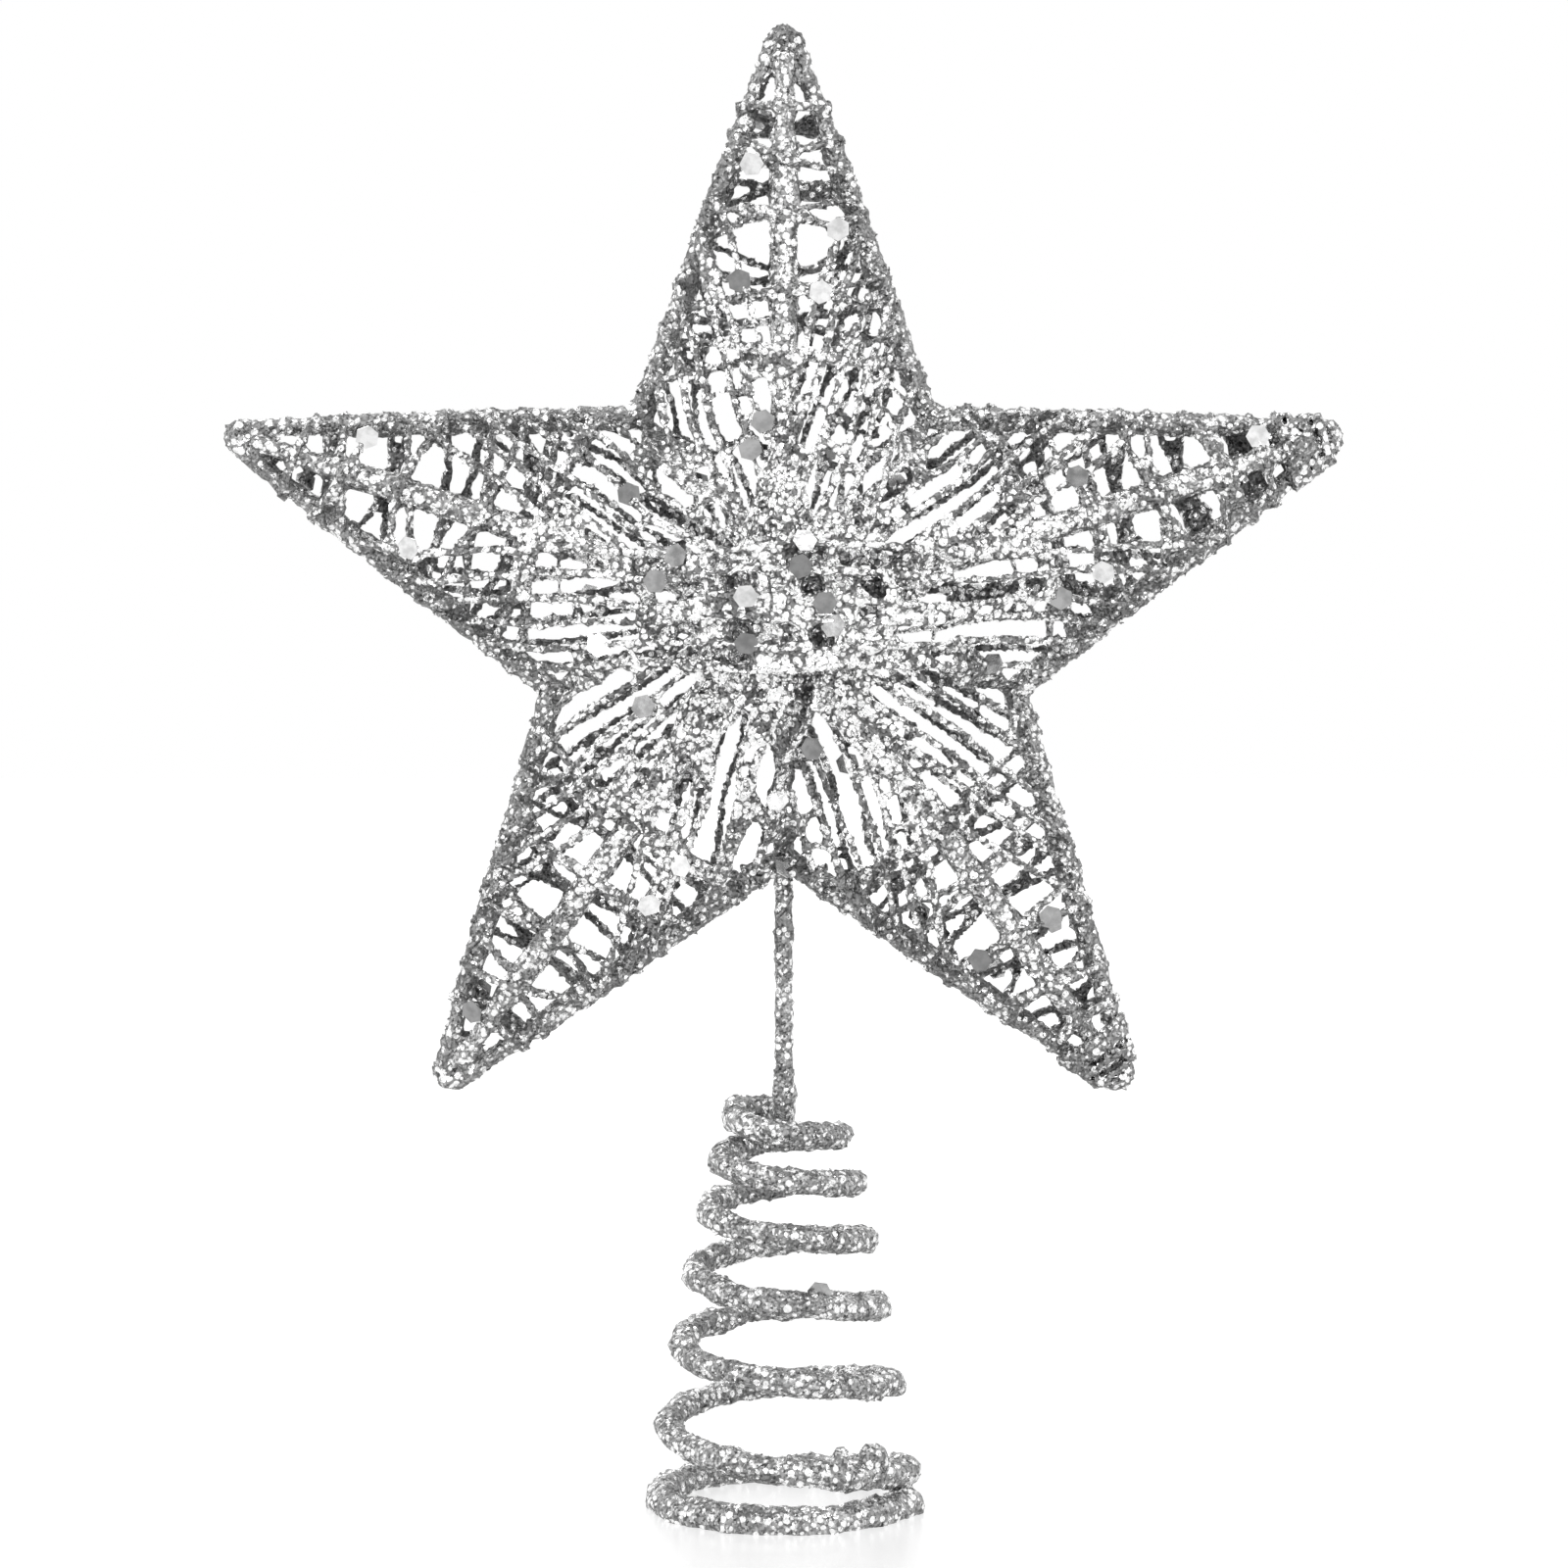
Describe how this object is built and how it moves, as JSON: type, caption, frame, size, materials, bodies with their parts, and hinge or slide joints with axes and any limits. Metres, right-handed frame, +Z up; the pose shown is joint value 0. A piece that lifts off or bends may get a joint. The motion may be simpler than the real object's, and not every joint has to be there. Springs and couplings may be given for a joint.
{
  "type": "christmas tree topper star",
  "caption": "Five-pointed glitter wire star wound with cord, on a stem that runs down into a conical wire coil which grips the top of a tree.",
  "frame": {"origin": "on the coil's axis, on the surface that the coil stands on", "axes": "+Z up along the stem to the top point, -Y towards the star's front, +X to the right as seen from the front"},
  "size_m": [0.1864, 0.0596, 0.2478],
  "materials": {
    "glitter_wire": "steel wire under a coat of silver glitter",
    "glitter_cord": "thin cord under a coat of silver glitter",
    "sequin_film": "metallised film, hexagonal"
  },
  "bodies": {
    "coil": {"coil_spring": "glitter_wire"},
    "star": {"outline_wire": "glitter_wire", "front_ridge_wire_top": "glitter_wire", "front_ridge_wire_right": "glitter_wire", "front_ridge_wire_lower_right": "glitter_wire", "front_ridge_wire_lower_left": "glitter_wire", "front_ridge_wire_left": "glitter_wire", "back_ridge_wire_top": "glitter_wire", "back_ridge_wire_right": "glitter_wire", "back_ridge_wire_lower_right": "glitter_wire", "back_ridge_wire_lower_left": "glitter_wire", "back_ridge_wire_left": "glitter_wire", "stem_wire": "glitter_wire", "stem_lashing": "glitter_cord", "tip_binding_right": "glitter_cord", "tip_binding_lower_right": "glitter_cord", "arm_winding_top": "glitter_cord", "arm_winding_right": "glitter_cord", "arm_winding_lower_right": "glitter_cord", "arm_winding_lower_left": "glitter_cord", "arm_winding_left": "glitter_cord", "cross_winding_top_to_lower_right": "glitter_cord", "cross_winding_right_to_lower_left": "glitter_cord", "cross_winding_lower_right_to_left": "glitter_cord", "cross_winding_lower_left_to_top": "glitter_cord", "cross_winding_left_to_right": "glitter_cord", "front_sequins": "sequin_film", "back_sequins": "sequin_film"}
  },
  "joints": [
    {"name": "coil_press", "type": "slide", "parent": "coil", "child": "star", "axis": [0, 0, 1], "range_m": [-0.01, 0.006], "stiffness_N_per_m": 2400, "springref_m": 0.0004, "deforming": ["coil_spring"]}
  ]
}
